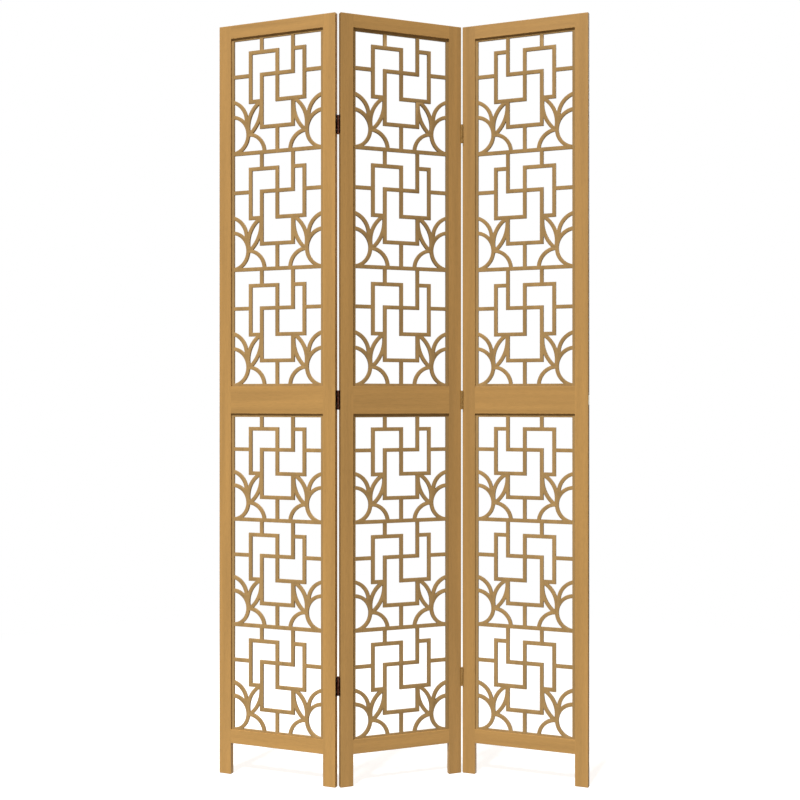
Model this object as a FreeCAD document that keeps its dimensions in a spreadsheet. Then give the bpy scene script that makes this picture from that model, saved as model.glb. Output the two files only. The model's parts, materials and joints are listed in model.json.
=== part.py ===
import FreeCAD, Part
import Sketcher
import os
import re
from math import cos, pi, radians, sin

from FreeCAD import Placement, Rotation, Vector

# Folding screen of three equal fretwork panels, joined by two rows of butt hinges.
# Each panel is a frame of two stiles and three rails. A fret-cut board fills each of its two openings.
# X runs to the right, Y away from the viewer and Z up. The origin is on the floor, below the middle
# of the middle panel. Lengths are in millimetres.

SIZES = {
    # the panel
    "panel_width": 290.0,
    "panel_height": 1700.0,
    "frame_thickness": 12.0,
    "stile_width": 30.0,
    "top_rail_height": 30.0,
    "mid_rail_height": 61.7,
    "bottom_rail_height": 31.5,
    "leg_height": 70.5,
    "mid_rail_level": 819.3,
    "arris": 1.0,
    # the joints of the frame
    "groove_width": 5.2,
    "groove_depth": 5.5,
    "tenon_shoulder": 6.5,
    "tenon_length": 14.0,
    "tenon_clearance": 0.1,
    "mortise_end_gap": 0.5,
    # the fret-cut boards; each has its own plain border above and below the fretwork
    "board_thickness": 5.0,
    "board_seat": 5.0,
    "side_border": 6.5,
    "upper_head_border": 6.3,
    "upper_foot_border": 5.5,
    "lower_head_border": 7.8,
    "lower_foot_border": 3.5,
    "upper_pattern_lift": 1.1,
    "lower_pattern_lift": -0.5,
    "bar_width": 8.5,
    # the hinges; the middle one is at half height, and the others are measured from the panel's ends
    "hinge_height": 42.4,
    "top_hinge_depth": 243.5,
    "bottom_hinge_level": 220.0,
    "leaf_thickness": 1.2,
    "leaf_depth": 10.4,
    "leaf_end_gap": 0.1,
    "panel_gap": 1.0,
    "knuckle_radius": 2.5,
    "knuckle_gap": 0.2,
    "knuckle_stand_off": 0.15,
    "pin_radius": 1.25,
    "pin_clearance": 0.05,
    # the screws of the hinges and of the edge plate; the length is counted from the face of what they hold
    "screw_spacing": 24.0,
    "screw_head_radius": 2.4,
    "screw_shank_radius": 1.2,
    "screw_length": 12.0,
    "screw_clearance": 0.1,
    # the small plate on the outer edge of the right panel
    "edge_plate_height": 32.0,
    "edge_plate_depth": 8.0,
    "edge_plate_screw_spacing": 26.0,
    "edge_plate_screw_head": 0.8,
    # one overrun for every cut
    "overrun": 2.0,
}

# The barrels of the hinges and the screws are drawn with flats. The pins that turn in the barrels are round.
BARREL_SIDES = 8
SCREW_SIDES = 6

# Sizes that follow from the driving ones.
DERIVED = {
    "field_width": "panel_width - 2 * stile_width",
    "upper_floor": "mid_rail_level + mid_rail_height",
    "upper_field": "panel_height - top_rail_height - upper_floor",
    "lower_floor": "leg_height + bottom_rail_height",
    "lower_field": "mid_rail_level - lower_floor",
    "stile_place": "panel_width / 2 - stile_width / 2",
    "tenon_thickness": "groove_width - 2 * tenon_clearance",
    "groove_floor": "leg_height + tenon_shoulder - tenon_clearance",
    "groove_top": "panel_height - tenon_shoulder + tenon_clearance",
    "axis_across": "stile_width / 2 + panel_gap / 2",
    "axis_depth": "frame_thickness / 2 + knuckle_radius + knuckle_stand_off",
    "bore_radius": "(pin_radius + pin_clearance) / cos(180 / %d)" % BARREL_SIDES,
    "leaf_middle": "frame_thickness / 2 - leaf_depth / 2",
    "low_hinge": "bottom_hinge_level",
    "middle_hinge": "panel_height / 2",
    "high_hinge": "panel_height - top_hinge_depth",
}

# How far each panel stands turned out of the line of the screen, in degrees.
FOLD_ANGLE = 21.44
TILE_COUNT = 3

# Centre lines of a tile's bars, as shares of the opening: across from its middle, down from the tile's top.
INNER_COLUMN_SHARE = 0.170
OUTER_COLUMN_SHARE = 0.2926
TOP_ROW_SHARE = 0.1414
CROSS_ROW_SHARE = 0.336
LOW_ROW_SHARE = 0.561
FOOT_ROW_SHARE = 0.7847

# The arcs of the leaf work. The rounds on the frame reach this far across and down the tile.
ARC_REACH_SHARE = 0.180
ARC_DROP_SHARE = 0.160

# The crown arc and the two blades of the leaf, each by three points: shares across from the middle and down.
LEAF_ARCS = (
    ((0.5, 0.5475), (0.357, 0.6464), (0.342, 0.7605)),
    ((0.1783, 0.5677), (0.2017, 0.7224), (0.320, 0.853)),
    ((0.1865, 0.5677), (0.298, 0.6844), (0.3096, 0.840)),
)

# An arc is drawn in straight steps of about this turn, in degrees, and in at least so many.
ARC_STEP = 30
MINIMUM_STEPS = 3

HINGES = ("low_hinge", "middle_hinge", "high_hinge")

doc = FreeCAD.newDocument("folding_screen")

sheet = doc.addObject("Spreadsheet::Sheet", "Sizes")
cells = [(alias, str(value)) for alias, value in SIZES.items()]
cells += [(alias, "=" + formula) for alias, formula in DERIVED.items()]
for row, (alias, text) in enumerate(cells, start=1):
    sheet.set("A%d" % row, alias)
    sheet.set("B%d" % row, text)
    sheet.setAlias("B%d" % row, alias)
    doc.recompute()


def size(alias):
    """A size, read back from the sheet."""
    return float(sheet.get(alias))


def bind(item, path, text):
    """Ties one property of an object to a sum of sheet sizes."""
    item.setExpression(path, re.sub(r"[a-z_]+", lambda word: "Sizes." + word.group(0), text))


# Places of the panels and of what lies in them.


def turned(degrees):
    """A turn about the upright through the origin."""
    return Placement(Vector(0, 0, 0), Rotation(Vector(0, 0, 1), degrees))


def moved(across=0.0, up=0.0):
    """A move across the panel and up."""
    return Placement(Vector(across, 0, up), Rotation())


def left_panel_place():
    """The left panel turns the other way about the hinge axis that it shares with the middle panel."""
    reach = Vector(size("stile_place") + size("axis_across"), 0, 0)
    depth = Vector(0, size("axis_depth"), 0)
    axis = turned(FOLD_ANGLE).multVec(depth - reach)
    own_axis = turned(-FOLD_ANGLE).multVec(depth + reach)
    return Placement(axis - own_axis, Rotation(Vector(0, 0, 1), -FOLD_ANGLE))


# The right panel is like the left one, but stands back to front: half a turn about the middle panel.
PANEL_PLACES = {
    "left": left_panel_place(),
    "middle": turned(FOLD_ANGLE),
    "right": turned(180).multiply(left_panel_place()),
}


def stile_place(panel, hand):
    """A stile's own frame has its outer edge on the left, so the stile on the right is turned round."""
    own = moved(across=hand * size("stile_place"))
    if hand > 0:
        own = own.multiply(turned(180))
    return PANEL_PLACES[panel].multiply(own)


# Sketches and features of the wooden members.


def new_body(name):
    body = doc.addObject("PartDesign::Body", name)
    body.Label = name
    return body


def new_sketch(body, name, role, across="0", up="0", out="0"):
    """A sketch on one of the body's own planes, moved within it and out of it."""
    sketch = body.newObject("Sketcher::SketchObject", name)
    plane = next(item for item in body.Origin.OriginFeatures if item.Role == role)
    sketch.AttachmentSupport = [(plane, "")]
    sketch.MapMode = "FlatFace"
    for axis, text in (("x", across), ("y", up), ("z", out)):
        bind(sketch, "AttachmentOffset.Base." + axis, text)
    return sketch


def sketch_point(sketch, level):
    """A construction point on the sketch's upright axis, at a bound level."""
    point = sketch.addGeometry(Part.Point(Vector(0, size("arris"), 0)), True)
    sketch.addConstraint(Sketcher.Constraint("PointOnObject", point, 1, -2))
    height = sketch.addConstraint(Sketcher.Constraint("DistanceY", -1, 1, point, 1, size("arris")))
    bind(sketch, "Constraints[%d]" % height, level)
    return point


def sketch_rectangle(sketch, width, height, level=None):
    """A rectangle about the sketch's origin, or about a point at a bound level above it."""
    middle = (-1, 1)
    if level is not None:
        middle = (sketch_point(sketch, level), 1)
    unit = size("arris")
    corners = [Vector(-unit, -unit), Vector(unit, -unit), Vector(unit, unit), Vector(-unit, unit)]
    lines = []
    for start, end in zip(corners, corners[1:] + corners[:1]):
        lines.append(sketch.addGeometry(Part.LineSegment(start, end), False))
    for first, second in zip(lines, lines[1:] + lines[:1]):
        sketch.addConstraint(Sketcher.Constraint("Coincident", first, 2, second, 1))
    for line, kind in zip(lines, ("Horizontal", "Vertical", "Horizontal", "Vertical")):
        sketch.addConstraint(Sketcher.Constraint(kind, line))
    sketch.addConstraint(Sketcher.Constraint("Symmetric", lines[0], 1, lines[2], 1, *middle))
    across = sketch.addConstraint(Sketcher.Constraint("DistanceX", lines[0], 1, lines[0], 2, unit))
    bind(sketch, "Constraints[%d]" % across, width)
    upright = sketch.addConstraint(Sketcher.Constraint("DistanceY", lines[1], 1, lines[1], 2, unit))
    bind(sketch, "Constraints[%d]" % upright, height)


def sketch_round(sketch, radius, level):
    """A screw's section about a point at a bound level: its flats, with a corner straight above the point."""
    point = sketch_point(sketch, level)
    doc.recompute()
    middle = Vector(0, sketch.Geometry[point].Y, 0)
    circle = sketch.addGeometry(Part.Circle(middle, Vector(0, 0, 1), size("screw_shank_radius")), True)
    sketch.addConstraint(Sketcher.Constraint("Coincident", circle, 3, point, 1))
    reach = sketch.addConstraint(Sketcher.Constraint("Radius", circle, size("screw_shank_radius")))
    bind(sketch, "Constraints[%d]" % reach, radius)
    corners = []
    for number in range(SCREW_SIDES):
        turn = 2 * pi * number / SCREW_SIDES
        corners.append(middle + Vector(sin(turn), cos(turn), 0) * size("screw_shank_radius"))
    flats = []
    for start, end in zip(corners, corners[1:] + corners[:1]):
        flats.append(sketch.addGeometry(Part.LineSegment(start, end), False))
    for first, second in zip(flats, flats[1:] + flats[:1]):
        sketch.addConstraint(Sketcher.Constraint("Coincident", first, 2, second, 1))
        sketch.addConstraint(Sketcher.Constraint("PointOnObject", first, 1, circle))
    for flat in flats[1:]:
        sketch.addConstraint(Sketcher.Constraint("Equal", flats[0], flat))
    sketch.addConstraint(Sketcher.Constraint("PointOnObject", flats[0], 1, -2))


def add_pad(body, name, sketch, length, symmetric=False):
    pad = body.newObject("PartDesign::Pad", name)
    pad.Profile = sketch
    bind(pad, "Length", length)
    if symmetric:
        pad.SideType = "Symmetric"
    doc.recompute()
    return pad


def add_pocket(body, name, sketch, length, reverse=False, symmetric=False):
    """A pocket, which has to take something away."""
    before = body.Shape.Volume
    pocket = body.newObject("PartDesign::Pocket", name)
    pocket.Profile = sketch
    pocket.Reversed = reverse
    bind(pocket, "Length", length)
    if symmetric:
        pocket.SideType = "Symmetric"
    doc.recompute()
    if not body.Shape.Volume < before:
        raise RuntimeError(body.Label + ": " + name + " takes nothing away")
    return pocket


def add_chamfer(body, name, feature, wanted):
    """Eases the straight edges of a feature whose middle point is wanted."""
    picks = []
    for number, edge in enumerate(feature.Shape.Edges, start=1):
        if wanted(edge.CenterOfMass):
            picks.append("Edge%d" % number)
    chamfer = body.newObject("PartDesign::Chamfer", name)
    chamfer.Base = (feature, picks)
    bind(chamfer, "Size", "arris")
    doc.recompute()
    return chamfer


def near(value, goal):
    """Whether two lengths are the same, to within a small share of the smallest size."""
    return abs(value - goal) < size("knuckle_stand_off") / 10


# The sub-parts.


def stile(name, placement, hinge_side=0, plate=False):
    """A full-height stile that ends in a leg.

    Its outer edge faces left. The groove and three mortises are in its inner edge. Gains for the hinge
    leaves lie in the outer edge, at the back (1) or the front (-1), with pilot holes for their screws.
    """
    body = new_body(name)
    outline = new_sketch(body, name + "_section", "XY_Plane")
    sketch_rectangle(outline, "stile_width", "frame_thickness")
    post = add_pad(body, name + "_post", outline, "panel_height")

    outer = -size("stile_width") / 2
    inner = size("stile_width") / 2
    top = size("panel_height")

    def eased(middle):
        if near(middle.z, 0):
            return True
        if near(middle.z, top):
            return not near(middle.x, inner)
        return near(middle.x, outer)

    add_chamfer(body, name + "_arrises", post, eased)

    groove = new_sketch(body, name + "_groove_outline", "YZ_Plane", out="stile_width / 2")
    sketch_rectangle(groove, "groove_width", "groove_top - groove_floor", "groove_top / 2 + groove_floor / 2")
    add_pocket(body, name + "_groove", groove, "groove_depth")

    mortises = new_sketch(body, name + "_mortise_outlines", "YZ_Plane", out="stile_width / 2")
    for height, middle in (
        ("bottom_rail_height", "leg_height + bottom_rail_height / 2"),
        ("mid_rail_height", "mid_rail_level + mid_rail_height / 2"),
        ("top_rail_height", "panel_height - top_rail_height / 2"),
    ):
        tall = height + " - 2 * tenon_shoulder + 2 * tenon_clearance"
        sketch_rectangle(mortises, "groove_width", tall, middle)
    add_pocket(body, name + "_mortises", mortises, "tenon_length + mortise_end_gap")

    if hinge_side:
        across = "%d * leaf_middle" % hinge_side
        gains = new_sketch(body, name + "_gain_outlines", "YZ_Plane", across, "0", "-stile_width / 2")
        for hinge in HINGES:
            sketch_rectangle(gains, "leaf_depth", "hinge_height + 2 * leaf_end_gap", hinge)
        add_pocket(body, name + "_gains", gains, "leaf_thickness", reverse=True)
        pilots = new_sketch(body, name + "_pilot_outlines", "YZ_Plane", across, "0", "-stile_width / 2")
        for hinge in HINGES:
            for sign in ("-", "+"):
                level = hinge + sign + "screw_spacing / 2"
                sketch_round(pilots, "screw_shank_radius + screw_clearance", level)
        add_pocket(body, name + "_pilots", pilots, "screw_length + screw_clearance", reverse=True)
    if plate:
        gain = new_sketch(body, name + "_gain_outline", "YZ_Plane", out="-stile_width / 2")
        sketch_rectangle(gain, "edge_plate_depth", "edge_plate_height", "middle_hinge")
        add_pocket(body, name + "_gain", gain, "leaf_thickness", reverse=True)
        pilots = new_sketch(body, name + "_pilot_outlines", "YZ_Plane", out="-stile_width / 2")
        for sign in ("-", "+"):
            level = "middle_hinge" + sign + "edge_plate_screw_spacing / 2"
            sketch_round(pilots, "screw_shank_radius + screw_clearance", level)
        add_pocket(body, name + "_pilots", pilots, "screw_length + screw_clearance", reverse=True)
    body.Placement = placement
    return body


def rail(name, panel, height, level, grooves, eased_side=0):
    """A rail with a stub tenon at each end and a groove in each edge that faces an opening."""
    body = new_body(name)
    section = new_sketch(body, name + "_section", "YZ_Plane")
    sketch_rectangle(section, "frame_thickness", height)
    beam = add_pad(body, name + "_beam", section, "field_width", symmetric=True)
    if eased_side:
        edge = eased_side * size(height) / 2
        thick = size("frame_thickness") / 2

        def eased(middle):
            return near(middle.z, edge) and near(abs(middle.y), thick)

        add_chamfer(body, name + "_arrises", beam, eased)
    tenons = new_sketch(body, name + "_tenon_section", "YZ_Plane")
    sketch_rectangle(tenons, "tenon_thickness", height + " - 2 * tenon_shoulder")
    add_pad(body, name + "_tenons", tenons, "field_width + 2 * tenon_length", symmetric=True)
    for side, label in grooves:
        up = "%d * (%s / 2 - groove_depth / 2)" % (side, height)
        outline = new_sketch(body, name + "_" + label + "_outline", "YZ_Plane", up=up)
        sketch_rectangle(outline, "groove_width", "groove_depth")
        add_pocket(body, name + "_" + label, outline, "field_width + 2 * overrun", symmetric=True)
    body.Placement = PANEL_PLACES[panel].multiply(moved(up=level))
    return body


# The fretwork. It is drawn flat, across and up, about the middle of the tile's top edge.


def bar_face(start, end):
    """A straight bar along a centre line, with square ends that reach half its width past the line's ends."""
    half = size("bar_width") / 2
    low = Vector(min(start.x, end.x) - half, 0, min(start.z, end.z) - half)
    high = Vector(max(start.x, end.x) + half, 0, max(start.z, end.z) + half)
    corners = [low, Vector(high.x, 0, low.z), high, Vector(low.x, 0, high.z), low]
    return Part.Face(Part.makePolygon(corners))


def arc_face(start, middle, end):
    """A curved bar along the arc through three points, in short straight steps."""
    arc = Part.Arc(start, middle, end).toShape()
    centre = arc.Curve.Center
    turn = arc.Length / arc.Curve.Radius
    spine = arc.discretize(1 + max(MINIMUM_STEPS, round(turn / radians(ARC_STEP))))
    rims = []
    for side in (-1, 1):
        offset = side * size("bar_width") / 2
        rims.append([point + (point - centre).normalize() * offset for point in spine])
    outline = rims[0] + rims[1][::-1] + rims[0][:1]
    face = Part.Face(Part.makePolygon(outline))
    # all faces of the drawing look the same way, so that they merge
    if face.normalAt(0, 0).y > 0:
        face.reverse()
    return face


def rectangle_face(half_width, low, high):
    corners = [
        Vector(-half_width, 0, low),
        Vector(half_width, 0, low),
        Vector(half_width, 0, high),
        Vector(-half_width, 0, high),
        Vector(-half_width, 0, low),
    ]
    return Part.Face(Part.makePolygon(corners))


def tile_faces(pitch):
    """The bars and arcs of one tile, whose top edge is at level zero and whose foot is a pitch below."""
    edge = size("field_width") / 2
    inner = INNER_COLUMN_SHARE * size("field_width")
    outer = OUTER_COLUMN_SHARE * size("field_width")
    rows = [-share * pitch for share in (TOP_ROW_SHARE, CROSS_ROW_SHARE, LOW_ROW_SHARE, FOOT_ROW_SHARE)]
    top, cross, low, foot = rows

    def bar(x_start, z_start, x_end, z_end):
        return bar_face(Vector(x_start, 0, z_start), Vector(x_end, 0, z_end))

    faces = [
        # the left rectangle, with its drop from the tile's top
        bar(-inner, 0, -inner, top),
        bar(-outer, top, 0, top),
        bar(-outer, top, -outer, low),
        bar(-outer, low, -inner, low),
        # the right rectangle, with the long drop
        bar(inner, 0, inner, cross),
        bar(inner, top, outer, top),
        bar(outer, top, outer, low),
        bar(0, low, outer, low),
        # the middle upright and the cross bar that lock the rectangles
        bar(0, top, 0, low),
        bar(-inner, cross, inner, cross),
        # the lower rectangle and its foot
        bar(-inner, cross, -inner, foot),
        bar(-inner, foot, inner, foot),
        bar(inner, low, inner, foot),
        bar(0, foot, 0, -pitch),
        # stubs out to the frame, and the foot bar of the tile
        bar(-edge, cross, -outer, cross),
        bar(outer, cross, edge, cross),
        bar(-edge, -pitch, edge, -pitch),
    ]

    reach = ARC_REACH_SHARE * size("field_width")
    drop = ARC_DROP_SHARE * pitch
    slant = sin(pi / 4)
    for hand in (-1, 1):

        def at(across, level, hand=hand):
            return Vector(hand * across, 0, level)

        joint = at(edge - reach, drop - pitch)
        # the half round on the frame, and the quarter arc beside it
        faces.append(arc_face(at(edge, 2 * drop - pitch), joint, at(edge, -pitch)))
        faces.append(arc_face(
            joint,
            at(edge - reach - reach * slant, drop * slant - pitch),
            at(edge - 2 * reach, -pitch),
        ))
        # the crown arc that springs from the frame, and the two blades of the leaf
        for points in LEAF_ARCS:
            faces.append(arc_face(*(at(across * 2 * edge, -down * pitch) for across, down in points)))
    return faces


def fret_board(word):
    """The board of an opening: a border all round, and the tiles one above the other, cut through it.

    The tiles lie a little above the middle of the opening, or below it.
    """
    field_height = size(word + "_field")
    lift = size(word + "_pattern_lift")
    seat = size("board_seat")
    half = size("field_width") / 2
    pitch = field_height / TILE_COUNT
    plate = rectangle_face(half + seat, -field_height - seat, seat)
    low = size(word + "_foot_border") - field_height
    window = rectangle_face(half - size("side_border"), low, -size(word + "_head_border"))
    faces = plate.cut(window).Faces
    for number in range(TILE_COUNT):
        for face in tile_faces(pitch):
            face.translate(Vector(0, 0, lift - number * pitch))
            faces.append(face)
    drawing = faces[0].multiFuse(faces[1:]).common(plate).removeSplitter()
    drawing.translate(Vector(0, -size("board_thickness") / 2, 0))
    solids = [face.extrude(Vector(0, size("board_thickness"), 0)) for face in drawing.Faces]
    if len(solids) != 1:
        raise RuntimeError("the fretwork falls apart in %d pieces" % len(solids))
    return solids[0]


def lattice(name, panel, board, field_top):
    item = doc.addObject("Part::Feature", name)
    item.Label = name
    item.Shape = board
    item.Placement = PANEL_PLACES[panel].multiply(moved(up=field_top))
    return item


# Hinges, pins, screws and the edge plate, in a stile's own frame.


def box(name, length, width, height, x, y, z):
    item = doc.addObject("Part::Box", name)
    for path, text in (("Length", length), ("Width", width), ("Height", height)):
        bind(item, path, text)
    for axis, text in (("x", x), ("y", y), ("z", z)):
        bind(item, "Placement.Base." + axis, text)
    return item


def rod(name, sides, radius, height, x, y, z, lying=False):
    """An upright rod, or one that lies along X."""
    item = doc.addObject("Part::Prism", name)
    item.Polygon = sides
    bind(item, "Circumradius", radius)
    bind(item, "Height", height)
    place_round(item, x, y, z, lying)
    return item


def tapered_head(name, wide, narrow, height, x, y, z):
    """The head of a screw that lies along X, wide where it starts."""
    rims = []
    for label, radius, start in (("_wide", wide, x), ("_narrow", narrow, x + " + " + height)):
        rim = doc.addObject("Part::RegularPolygon", name + label)
        rim.Polygon = SCREW_SIDES
        bind(rim, "Circumradius", radius)
        place_round(rim, start, y, z, True)
        rims.append(rim)
    item = doc.addObject("Part::Loft", name)
    item.Sections = rims
    item.Solid = True
    item.Ruled = True
    return item


def place_round(item, x, y, z, lying):
    if lying:
        item.Placement.Rotation = Rotation(Vector(0, 1, 0), 90)
    for axis, text in (("x", x), ("y", y), ("z", z)):
        bind(item, "Placement.Base." + axis, text)


def joined(kind, name, items):
    """Fuses items, or gathers them as separate solids."""
    group = doc.addObject("Part::" + kind, name)
    if kind == "Compound":
        group.Links = items
    else:
        group.Shapes = items
    return group


def cut(name, base, tool):
    item = doc.addObject("Part::Cut", name)
    item.Base = base
    item.Tool = tool
    return item


def shank(name, y, z, clearance="0"):
    """The shank of a screw driven into the stile's outer edge, or the hole that it needs in a plate."""
    return rod(
        name + "_shank", SCREW_SIDES,
        "screw_shank_radius + " + clearance,
        "screw_length",
        "-stile_width / 2", y, z,
        lying=True,
    )


def countersunk_screw(name, y, z, clearance="0"):
    """A screw whose head is as deep as a leaf, or the hole that it needs there."""
    head = tapered_head(
        name + "_head",
        "screw_head_radius + " + clearance,
        "screw_shank_radius + " + clearance,
        "leaf_thickness",
        "-stile_width / 2", y, z,
    )
    return joined("MultiFuse", name, [head, shank(name, y, z, clearance)])


def flat_headed_screw(name, y, z):
    """A screw whose head stands on the plate that it holds."""
    head = rod(
        name + "_head", SCREW_SIDES,
        "screw_head_radius",
        "edge_plate_screw_head",
        "-stile_width / 2 - edge_plate_screw_head", y, z,
        lying=True,
    )
    return joined("MultiFuse", name, [head, shank(name, y, z)])


def screws(name, placement, kind, y, levels):
    """A set of screws, each a solid of its own."""
    items = [kind("%s_%d" % (name, number), y, level) for number, level in enumerate(levels, start=1)]
    group = joined("Compound", name, items)
    group.Label = name
    group.Placement = placement
    return group


def hinge_screw_levels():
    return [hinge + sign + "screw_spacing / 2" for hinge in HINGES for sign in ("-", "+")]


def leaf(name, side, hinge, thirds):
    """One hinge leaf: a plate in the stile's edge, and the knuckles that it wraps round the pin.

    The barrel is in thirds, counted up from -1 to 1, and the leaf holds those that it is given.
    """
    reach = "(axis_depth - frame_thickness / 2 + leaf_depth)"
    plate_start = "leaf_middle - leaf_depth / 2" if side > 0 else "-frame_thickness / 2"
    plate = box(
        name + "_plate", "leaf_thickness", "leaf_depth", "hinge_height",
        "-stile_width / 2", plate_start, hinge + " - hinge_height / 2",
    )
    parts = [plate]
    axis_y = "%d * axis_depth" % side
    wrap_start = "leaf_middle - leaf_depth / 2" if side > 0 else "-axis_depth"
    for third in thirds:
        # the end knuckles are flush with the plate, and the middle one has a gap at both ends
        low = hinge + " + hinge_height * %d / 6" % (2 * third - 1)
        height = "hinge_height / 3 - knuckle_gap / 2"
        if third == 0:
            height = "hinge_height / 3 - knuckle_gap"
        if third >= 0:
            low += " + knuckle_gap / 2"
        tag = "%s_%d" % (name, third + 1)
        parts.append(box(tag + "_wrap", "leaf_thickness", reach, height, "-stile_width / 2", wrap_start, low))
        knuckle = rod(tag + "_knuckle", BARREL_SIDES, "knuckle_radius", height, "-axis_across", axis_y, low)
        parts.append(knuckle)
    solid = joined("MultiFuse", name + "_solid", parts)
    bore = rod(
        name + "_bore", BARREL_SIDES, "bore_radius", "hinge_height + 2 * overrun",
        "-axis_across", axis_y, hinge + " - hinge_height / 2 - overrun",
    )
    tools = [bore]
    for number, sign in enumerate(("-", "+")):
        level = hinge + sign + "screw_spacing / 2"
        hole = "%s_hole_%d" % (name, number)
        tools.append(countersunk_screw(hole, "%d * leaf_middle" % side, level, "screw_clearance"))
    return cut(name, solid, joined("MultiFuse", name + "_holes", tools))


def leaves(name, placement, side, thirds):
    """The three leaves on one stile."""
    items = [leaf("%s_%s" % (name, hinge), side, hinge, thirds) for hinge in HINGES]
    group = joined("Compound", name, items)
    group.Label = name
    group.Placement = placement
    return group


def pins(name, placement, side):
    """The pins of one fold, from end to end of each barrel."""
    items = []
    for hinge in HINGES:
        pin = doc.addObject("Part::Cylinder", "%s_%s" % (name, hinge))
        bind(pin, "Radius", "pin_radius")
        bind(pin, "Height", "hinge_height")
        place_round(pin, "-axis_across", "%d * axis_depth" % side, hinge + " - hinge_height / 2", False)
        items.append(pin)
    group = joined("Compound", name, items)
    group.Label = name
    group.Placement = placement
    return group


def edge_plate(name, placement):
    plate = box(
        name + "_blank", "leaf_thickness", "edge_plate_depth", "edge_plate_height",
        "-stile_width / 2", "-edge_plate_depth / 2", "middle_hinge - edge_plate_height / 2",
    )
    tools = []
    for number, level in enumerate(edge_plate_screw_levels()):
        tools.append(shank("%s_hole_%d" % (name, number), "0", level, "screw_clearance"))
    item = cut(name, plate, joined("MultiFuse", name + "_holes", tools))
    item.Label = name
    item.Placement = placement
    return item


def edge_plate_screw_levels():
    return ["middle_hinge" + sign + "edge_plate_screw_spacing / 2" for sign in ("-", "+")]


# The screen, put together.

nodes = []
upper_board = fret_board("upper")
lower_board = fret_board("lower")
LEFT_HAND = -1
RIGHT_HAND = 1
BACK = 1
FRONT = -1

for panel in PANEL_PLACES:
    # an outer panel is hinged on its right stile only, at the back; the middle one on both
    for hand, word in ((LEFT_HAND, "left"), (RIGHT_HAND, "right")):
        hinge_side = 0
        if panel == "middle":
            hinge_side = BACK
        elif hand == RIGHT_HAND:
            hinge_side = FRONT
        seen = word
        if panel == "right":
            seen = "left" if word == "right" else "right"
        plate = panel == "right" and hand == LEFT_HAND
        nodes.append(stile("%s_panel_%s_stile" % (panel, seen), stile_place(panel, hand), hinge_side, plate))
    top_level = size("panel_height") - size("top_rail_height") / 2
    mid_level = size("mid_rail_level") + size("mid_rail_height") / 2
    bottom_level = size("leg_height") + size("bottom_rail_height") / 2
    below = (-1, "groove_below")
    above = (1, "groove_above")
    nodes.append(rail(panel + "_panel_top_rail", panel, "top_rail_height", top_level, [below], 1))
    nodes.append(rail(panel + "_panel_mid_rail", panel, "mid_rail_height", mid_level, [below, above]))
    nodes.append(rail(panel + "_panel_bottom_rail", panel, "bottom_rail_height", bottom_level, [above], -1))
    upper_top = size("panel_height") - size("top_rail_height")
    nodes.append(lattice(panel + "_panel_upper_lattice", panel, upper_board, upper_top))
    nodes.append(lattice(panel + "_panel_lower_lattice", panel, lower_board, size("mid_rail_level")))

for fold, outer_panel, middle_hand in (("left", "left", LEFT_HAND), ("right", "right", RIGHT_HAND)):
    outer_place = stile_place(outer_panel, RIGHT_HAND)
    middle_place = stile_place("middle", middle_hand)
    nodes.append(leaves(fold + "_fold_outer_leaves", outer_place, FRONT, (-1, 1)))
    nodes.append(leaves(fold + "_fold_middle_leaves", middle_place, BACK, (0,)))
    nodes.append(pins(fold + "_fold_pins", middle_place, BACK))
    levels = hinge_screw_levels()
    outer_depth = "%d * leaf_middle" % FRONT
    middle_depth = "%d * leaf_middle" % BACK
    nodes.append(screws(fold + "_fold_outer_screws", outer_place, countersunk_screw, outer_depth, levels))
    nodes.append(screws(fold + "_fold_middle_screws", middle_place, countersunk_screw, middle_depth, levels))

plate_place = stile_place("right", LEFT_HAND)
nodes.append(edge_plate("edge_plate", plate_place))
nodes.append(screws("edge_plate_screws", plate_place, flat_headed_screw, "0", edge_plate_screw_levels()))

doc.recompute()

for item in doc.Objects:
    if "Invalid" in item.State or "Error" in item.State:
        raise RuntimeError(item.Label + " failed: " + ", ".join(item.State))

os.makedirs("parts", exist_ok=True)
for node in nodes:
    if node.Shape.isNull() or not node.Shape.isValid():
        raise RuntimeError(node.Label + " has no valid shape")
    node.Shape.exportStep("parts/%s.step" % node.Label)
    print(node.Label, len(node.Shape.Solids), "solids,", round(node.Shape.Volume), "mm3")
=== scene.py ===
# %% [markdown]
# A folding screen of three fretwork panels, in golden brown wood with antique brass hinges.
# The construction model is loaded first, as a fixed frame. Every piece that is modelled here lies where
# its solid lies, and moves with the panel that carries it.

import json
from math import atan2, pi, radians, sin

import bpy
from mathutils import Matrix, Vector


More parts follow.
